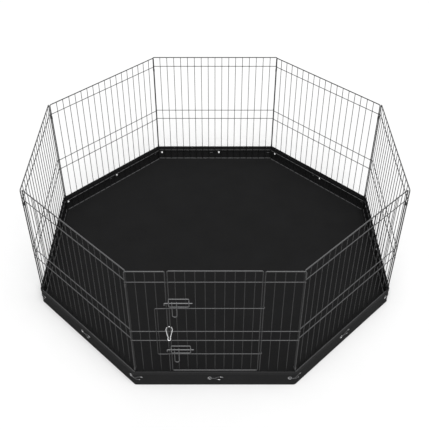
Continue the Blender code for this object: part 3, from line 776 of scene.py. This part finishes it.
def loft(path, length, section):
    """A closed band along a path. `section` gives its outline at a place as (out, up, across the cloth)."""
    bm = bmesh.new()
    uv = bm.loops.layers.uv.new("cloth")
    rings, places = [], {}
    for point, normal, s in path:
        ring = []
        for out, height, across in section(s):
            vert = bm.verts.new(point + normal * out + UP * height)
            places[vert] = s, across
            ring.append(vert)
        rings.append(ring)
    for face in join_rings(bm, rings, True):
        furthest = max(places[vert][0] for vert in face.verts)
        for loop in face.loops:
            s, across = places[loop.vert]
            loop[uv].uv = (s + length if furthest - s > length / 2 else s, across)
    return bm


def round_outline(radius, sides, pitch, out, height, swell=1.0):
    """The outline of a cord for loft, `swell` times as wide as it is high."""
    turns = [2 * math.pi * k / sides for k in range(sides)]
    places = [(out + radius * math.cos(a) * swell, height + radius * math.sin(a)) for a in turns]
    return [(x, z, k * pitch) for k, (x, z) in enumerate(places)]


def floor_height(x, y):
    """Top of the mat: barely rippled, with the ghost of the folds it was packed in."""
    ripple = 0.5 * soft_noise(x, y, 0.16, 3.1) + 0.3 * soft_noise(x, y, 0.06, 8.4)
    fold = 0.0
    for line in FOLD_LINES:
        for place in (x, y):
            fold += math.exp(-(((place - line - 0.004 * soft_noise(x, y, 0.3, line)) / FOLD_W) ** 2))
    return FLOOR_T - 0.00058 + 0.00042 * ripple + 0.0002 * min(1.0, fold)


def add_floor(outside):
    """The mat's floor, a rippled octagonal sheet with a flat underside."""
    edge, length = octagon_path(outside, SKIRT_CORNER_R, FLOOR_SPACING, 4)
    bm = bmesh.new()
    levels = []
    for top in (True, False):
        grid = [[bm.verts.new((0, 0, floor_height(0, 0) if top else 0.0))]]
        for r in range(1, FLOOR_RINGS + 1):
            share = r / FLOOR_RINGS
            row = []
            for point, _, _ in edge:
                x, y, z = point.x * share, point.y * share, 0.0
                if top:
                    fall = max(0.0, (share - FLOOR_RIM) / (1 - FLOOR_RIM))
                    z = floor_height(x, y) * (1 - fall) + (FLOOR_T - 0.0002) * fall
                row.append(bm.verts.new((x, y, z)))
            grid.append(row)
        levels.append(grid)
    upper, lower = levels
    for i in range(len(edge)):
        n = (i + 1) % len(edge)
        for grid in levels:
            faces = [(grid[0][0], grid[1][i], grid[1][n])]
            for inner, outer in zip(grid[1:], grid[2:]):
                faces.append((inner[i], outer[i], outer[n], inner[n]))
            for face in faces:
                bm.faces.new(face if grid is lower else face[::-1]).smooth = True
        bm.faces.new((upper[-1][i], upper[-1][n], lower[-1][n], lower[-1][i]))
    cloth_uv(bm, lambda at: (at.x, at.y))
    mesh = finish(bm, "mat_floor_sheet", [FLOOR_CLOTH], 60)
    sheet = piece("mat_floor_sheet", mesh, Matrix(), "front_frame", ["mat_floor"])
    return sheet, 0.5 * length * outside


def skirt_offset(s, z, length):
    """How far the standing skirt leans out at a place, from slack between its ties."""
    up = (z - PEN_Z) / (SKIRT_TOP - PEN_Z)
    turn = 2 * math.pi * s / length
    ring = Vector((math.cos(turn), math.sin(turn), 0)) * length / (2 * math.pi)
    wave = soft_noise(ring.x, ring.y, 0.10, 2.0 + up * 0.8)
    fine = soft_noise(ring.x, ring.y, 0.035, 7.0 + up * 1.5)
    return (0.0007 * wave + 0.00025 * fine) * math.sin(math.pi * min(1.0, up * 0.62 + 0.02)) + 0.0002 * up


def edge_place(s, length):
    """How far the skirt's bound edge leans out at a place, and how far it ripples up."""
    return skirt_offset(s, SKIRT_TOP - EDGE_DOWN, length), 0.0003 * soft_noise(s, 0.08, 0.02, 0)


def cut_holes(sheet, holes):
    """The sheet's mesh with a round hole through it at each frame, along the frame's Y."""
    cutter = bmesh.new()
    for place in holes:
        bmesh.ops.create_cone(
            cutter, cap_ends=True, segments=24, radius1=HOLE_R, radius2=HOLE_R, depth=0.02,
            matrix=place @ Matrix.Rotation(math.pi / 2, 4, "X"),
        )
    tool_mesh = bpy.data.meshes.new("hole_tool")
    cutter.to_mesh(tool_mesh)
    cutter.free()
    tool = bpy.data.objects.new("hole_tool", tool_mesh)
    bpy.context.scene.collection.objects.link(tool)
    cut = sheet.modifiers.new("holes", "BOOLEAN")
    cut.operation = "DIFFERENCE"
    cut.solver = "EXACT"
    cut.object = tool
    bpy.context.view_layer.update()
    graph = bpy.context.evaluated_depsgraph_get()
    made = bpy.data.meshes.new_from_object(sheet.evaluated_get(graph))
    sheet.modifiers.clear()
    bpy.data.objects.remove(tool, do_unlink=True)
    return made


def add_skirt(inside, holes):
    """The standing skirt, with a hole for each eyelet."""
    path, length = octagon_path(inside, SKIRT_CORNER_R - SKIRT_T, SKIRT_SPACING, SKIRT_BENDS)

    def outline(s):
        leans = [(skirt_offset(s, z, length), z) for z in SKIRT_ROWS]
        return [(lean + SKIRT_T, z, z) for lean, z in leans] + [(lean, z, z) for lean, z in reversed(leans)]

    bm = loft(path, length, outline)
    bm.normal_update()
    bmesh.ops.recalc_face_normals(bm, faces=bm.faces)
    mesh = bpy.data.meshes.new("skirt_sheet")
    bm.to_mesh(mesh)
    bm.free()
    mesh.materials.append(SKIRT_CLOTH)
    sheet = bpy.data.objects.new("mat_skirt_sheet", mesh)
    bpy.context.scene.collection.objects.link(sheet)
    made = cut_holes(sheet, holes)
    sheet.data = made
    made.name = "mat_skirt_sheet"
    made.shade_smooth()
    made.set_sharp_from_angle(angle=math.radians(40))
    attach(sheet, "front_frame")
    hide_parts("mat_skirt")
    return sheet, length


def skirt_middle(inside):
    """The path round the skirt, half way through its cloth."""
    return octagon_path(inside + SKIRT_T / 2, SKIRT_CORNER_R - SKIRT_T / 2, SKIRT_SPACING, SKIRT_BENDS)


def tape_outline():
    """Across the folded tape: up its outside, over the edge, down its inside and back round the cloth."""
    roll = TAPE_HALF + 0.0004
    side = [(TAPE_HALF, TAPE_BOTTOM), (TAPE_HALF + 0.0001, TAPE_BOTTOM + 0.0015)]
    side += [(TAPE_HALF + 0.0002, SKIRT_TOP - 0.009), (TAPE_HALF + 0.0003, SKIRT_TOP - 0.003)]
    over = [(roll * math.cos(a), TAPE_TOP - roll + roll * math.sin(a)) for a in TAPE_ROLL]
    within = [(TAPE_INNER, SKIRT_TOP - 0.0002), (TAPE_INNER, TAPE_BOTTOM)]
    back = [(-x, z) for x, z in reversed(side)] + [(-x, z) for x, z in reversed(within)]
    return side + over + back + within


def add_binding(inside):
    """Bias tape folded over the skirt's top edge, sewn down on both sides."""
    path, length = skirt_middle(inside)

    def outline(s):
        lean, ripple = edge_place(s, length)
        return [(lean + x, z + ripple, k * 0.0016) for k, (x, z) in enumerate(tape_outline())]

    mesh = finish(loft(path, length, outline), "mat_binding", [TAPE], 50)
    return piece("mat_binding", mesh, Matrix(), "front_frame", [])


def add_piping(inside):
    """A corded edge on top of the binding, in a lighter cloth that is a painted highlight along the skirt's
    top edge.
    """
    path, length = skirt_middle(inside)

    def outline(s):
        lean, ripple = edge_place(s, length)
        return round_outline(PIPING_R, 12, 0.00065, lean, SKIRT_TOP + PIPING_UP + ripple)

    mesh = finish(loft(path, length, outline), "mat_piping", [PIPING], 60)
    return piece("mat_piping", mesh, Matrix(), "front_frame", [])


def stitch_row(bm, path, length, offset, height, leans_at=None):
    """Stitches along a path, each half sunk in cloth. `leans_at` is a height on the leaning skirt."""
    spots = max(1, round(length / STITCH_PITCH))
    nearest = 0
    for i in range(spots):
        s = (i + 0.5) * length / spots
        while nearest + 1 < len(path) and path[nearest + 1][2] < s:
            nearest += 1
        point, normal, start = path[nearest]
        following = path[(nearest + 1) % len(path)]
        end = following[2] if nearest + 1 < len(path) else length
        share = (s - start) / (end - start)
        out = normal.lerp(following[1], share).normalized()
        lean = 0.0 if leans_at is None else skirt_offset(s, leans_at, length)
        centre = point.lerp(following[0], share) + out * (offset + lean) + UP * height
        reach = Vector((out.y, -out.x, 0)) * STITCH_PITCH * 0.30
        tube(bm, [centre - reach, centre + reach], STITCH_R, 6, up=UP)


def add_stitches(inside, outside):
    path, length = skirt_middle(inside)
    bm = bmesh.new()
    for side in (1, -1):
        offset = side * (SKIRT_T / 2 + 0.0007)
        stitch_row(bm, path, length, offset, SKIRT_TOP - EDGE_SEAM_DOWN, SKIRT_TOP - EDGE_DOWN)
    stitch_row(bm, path, length, SKIRT_T / 2 + 0.00005, FOOT_SEAM_Z, FOOT_SEAM_Z)
    cloth_uv(bm, lambda at: (at.x + at.y, at.z))
    mesh = finish(bm, "mat_stitches", [THREAD])
    stitches = piece("mat_skirt_stitches", mesh, Matrix(), "front_frame", [])

    path, length = octagon_path(outside - FLOOR_SEAM_IN, SKIRT_CORNER_R, FLOOR_SPACING, 4)
    bm = bmesh.new()
    stitch_row(bm, path, length, 0.0, FLOOR_T - 0.00035)
    cloth_uv(bm, lambda at: (at.x, at.y))
    mesh = finish(bm, "mat_floor_stitches", [THREAD])
    return stitches, piece("mat_floor_stitches", mesh, Matrix(), "front_frame", [])


def add_foot_roll(outside):
    """The sewn edge where the skirt joins the floor, a flat welt on the ground."""
    path, length = octagon_path(outside - 0.0004, SKIRT_CORNER_R, FLOOR_SPACING, 7)

    def outline(s):
        swell = 1 + 0.10 * soft_noise(s, 0.27, 0.03, 0)
        return round_outline(WELT_R, 10, 0.0011, 0.0, SKIRT_FOOT, swell)

    mesh = finish(loft(path, length, outline), "mat_foot_welt", [SKIRT_CLOTH], 60)
    return piece("mat_foot_welt", mesh, Matrix(), "front_frame", [])


# --- ties and eyelets -----------------------------------------------------------------------------
# Round an eyelet's rolled rim: (radius, out from the middle of the cloth)
EYELET_PROFILE = (
    (0.0054, -0.0008), (0.0054, 0.0006), (0.0056, 0.0010), (0.0060, 0.0012), (0.0066, 0.0012),
    (0.0072, 0.0010), (0.0076, 0.0006), (0.0058, 0.00055), (0.0058, -0.00055), (0.0074, -0.0006),
    (0.0073, -0.0008), (0.0066, -0.0011), (0.0060, -0.0011),
)
TIE_REST = 0.0011  # a leg's middle stands off the cloth by this much
KNOT_X, KNOT_Z = (0.014, 0.019, 0.026), -0.002
TIP_POINTS = {1: 7, -1: 4}  # how many of a leg's points lie in its tip, for the upper and the lower leg


def on_skirt(x, out, rise, index, corner):
    """A point of the skirt's outside face: x to the right from the middle of a side or from a corner."""
    outward = heading(index) + math.pi / 2
    flat = OUTER_APOTHEM + SKIRT_IN + SKIRT_T + out
    if not corner:
        normal = Vector((math.cos(outward), math.sin(outward), 0))
        along = Vector((-normal.y, normal.x, 0))
        return normal * flat + along * x + UP * (TIE_Z + rise)
    radius = SKIRT_CORNER_R - SKIRT_T
    middle = outward - HALF_TURN
    centre = Vector((math.cos(middle), math.sin(middle), 0)) * (OUTER_APOTHEM + SKIRT_IN - radius)
    centre /= math.cos(HALF_TURN)
    whole = radius + SKIRT_T + out
    reach = whole * HALF_TURN
    turn = max(-HALF_TURN, min(HALF_TURN, x / whole))
    normal = Vector((math.cos(middle + turn), math.sin(middle + turn), 0))
    along = Vector((-normal.y, normal.x, 0))
    extra = x - max(-reach, min(reach, x))
    return centre + normal * whole + along * extra + UP * (TIE_Z + rise)


def eyelet_frame(index, corner):
    """X to the left, Y outwards, at the eyelet's middle, half way through the skirt."""
    here = on_skirt(TIE_EYE_X, -SKIRT_T / 2, 0, index, corner)
    beside = on_skirt(TIE_EYE_X - 0.001, -SKIRT_T / 2, 0, index, corner)
    left = (beside - here).normalized()
    outward = Vector((-left.y, left.x, 0))
    return Matrix.Translation(here) @ Matrix((left, outward, UP)).transposed().to_4x4()


def eyelet_mesh():
    bm = bmesh.new()
    rings = []
    for i in range(28):
        turn = 2 * math.pi * i / 28
        rings.append([bm.verts.new((r * math.cos(turn), h, r * math.sin(turn))) for r, h in EYELET_PROFILE])
    join_rings(bm, rings, True)
    return finish(bm, "eyelet", [EYELET], 50)


def strand(index, corner, side):
    """One leg of a tie: out through the eyelet, across to the right, and spread at its end."""
    rest, eye = TIE_REST, TIE_EYE_X
    points = [
        (eye + 0.0038, -0.0030, side * 0.0009),
        (eye + 0.0039, 0.0004, side * 0.0010),
        (eye + 0.0054, 0.0024, side * 0.0011),
        (eye + 0.0076, 0.0024, side * 0.0010),
        (eye + 0.0100, rest + 0.0006, -side * 0.0004),
        (eye + 0.0130, rest + 0.0004 * side, -side * 0.0013),
        (eye + 0.0175, rest + 0.0003, side * 0.0003),
        (0.0010, rest, side * 0.0024),
        (0.0060, rest, side * 0.0052),
    ]
    if side < 0:
        points += [(0.0120, rest, -TIE_SPREAD * 0.86), (TIE_SHORT, rest, -TIE_SPREAD)]
    else:
        points += [(0.0130, rest, TIE_SPREAD * 0.86), (0.0210, rest, TIE_SPREAD)]
        points += [(0.0270, rest, TIE_SPREAD * 0.86), (TIE_RIGHT, rest, TIE_SPREAD * 0.6)]
    if corner:
        fine = []
        for start, end in zip(points, points[1:]):
            count = max(1, math.ceil(abs(end[0] - start[0]) / 0.003))
            for i in range(count):
                fine.append([a + (b - a) * i / count for a, b in zip(start, end)])
        points = fine + [points[-1]]
    return smoothed([on_skirt(*place, index, corner) for place in points], 3)


def add_ties():
    eyelet = eyelet_mesh()
    made = []
    for index in range(SIDES):
        for corner in (False, True):
            where = PANEL_NAMES[index] + ("_corner" if corner else "")
            bm = bmesh.new()
            for side in (1, -1):
                points = strand(index, corner, side)
                tube(bm, points, TIE_R * 0.9, 8)
                tube(bm, points[-TIP_POINTS[side]:], TIE_R * 1.4, 10, slot=1)
            knot = [on_skirt(x, -SKIRT_T - TIE_REST, KNOT_Z, index, corner) for x in KNOT_X]
            tube(bm, smoothed(knot, 4), TIE_R * 1.3, 10)
            mesh = finish(bm, "tie_" + where, [CORD, TIP])
            node = "mat_tie_" + where
            made.append(piece("tie_" + where, mesh, Matrix(), "front_frame", [node]))
            place = eyelet_frame(index, corner)
            made.append(piece("eyelet_" + where, eyelet, place, "front_frame", []))
    return made


# --- stage ----------------------------------------------------------------------------------------
STAGE_HALF, STAGE_DROP, PAPER_DARK, PAPER_LIGHT = 40.0, 0.0004, 0.73, 0.75
SKY_STRENGTH, SUN_STRENGTH, SUN_WIDTH, SUN_TILT, SUN_ROLL = 0.45, 3.2, 50, 20, 5
CAMERA_AT, CAMERA_DOWN, FOCAL_LENGTH, SENSOR_W = (0.0, -2.423, 2.298), 40.52, 59.93, 36.0


def add_stage():
    mesh = bpy.data.meshes.new("stage_floor")
    size = STAGE_HALF
    corners = [(-size, -size, 0), (size, -size, 0), (size, size, 0), (-size, size, 0)]
    mesh.from_pydata(corners, [], [(0, 1, 2, 3)])
    look, tree, shader = new_material("stage_paper", Roughness=0.9, Specular_IOR_Level=0.1)
    fibres = add_noise(tree, object_coords(tree), 1.5)
    shade = add_ramp(tree, fibres, PAPER_DARK, PAPER_LIGHT, 0.3, 0.7)
    tree.links.new(shade, shader.inputs["Base Color"])
    mesh.materials.append(look)
    ground = bpy.data.objects.new("stage_floor", mesh)
    ground.location.z = -STAGE_DROP
    bpy.context.scene.collection.objects.link(ground)

    bpy.context.scene.view_settings.view_transform = "Standard"
    world = bpy.data.worlds.new("studio")
    bpy.context.scene.world = world
    world.use_nodes = True
    sky = world.node_tree.nodes["Background"]
    sky.inputs["Color"].default_value = (1.0, 1.0, 1.0, 1.0)
    sky.inputs["Strength"].default_value = SKY_STRENGTH

    overhead = bpy.data.lights.new("overhead", "SUN")
    overhead.energy = SUN_STRENGTH
    overhead.angle = math.radians(SUN_WIDTH)
    light = bpy.data.objects.new("overhead", overhead)
    light.rotation_euler = (math.radians(SUN_TILT), math.radians(SUN_ROLL), 0)
    bpy.context.scene.collection.objects.link(light)

    lens = bpy.data.cameras.new("camera")
    lens.sensor_width = SENSOR_W
    lens.lens = FOCAL_LENGTH
    lens.clip_end = 100.0
    camera = bpy.data.objects.new("camera", lens)
    camera.location = CAMERA_AT
    camera.rotation_euler = (math.radians(90 - CAMERA_DOWN), 0, 0)
    bpy.context.scene.collection.objects.link(camera)
    bpy.context.scene.camera = camera


add_stage()
add_panels()
add_sill()
add_door()
add_bolts()
add_clips()
add_snap_hook()

inside = OUTER_APOTHEM + SKIRT_IN
outside = inside + SKIRT_T + FLOOR_MARGIN
holes = [eyelet_frame(index, corner) for index in range(SIDES) for corner in (False, True)]
floor_sheet, floor_area = add_floor(outside)
skirt, skirt_length = add_skirt(inside, holes)
binding = add_binding(inside)
piping = add_piping(inside)
stitches, seam = add_stitches(inside, outside)
add_foot_roll(outside)
tie_pieces = add_ties()

for thing in [skirt, binding, piping, stitches] + tie_pieces:
    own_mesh(thing)
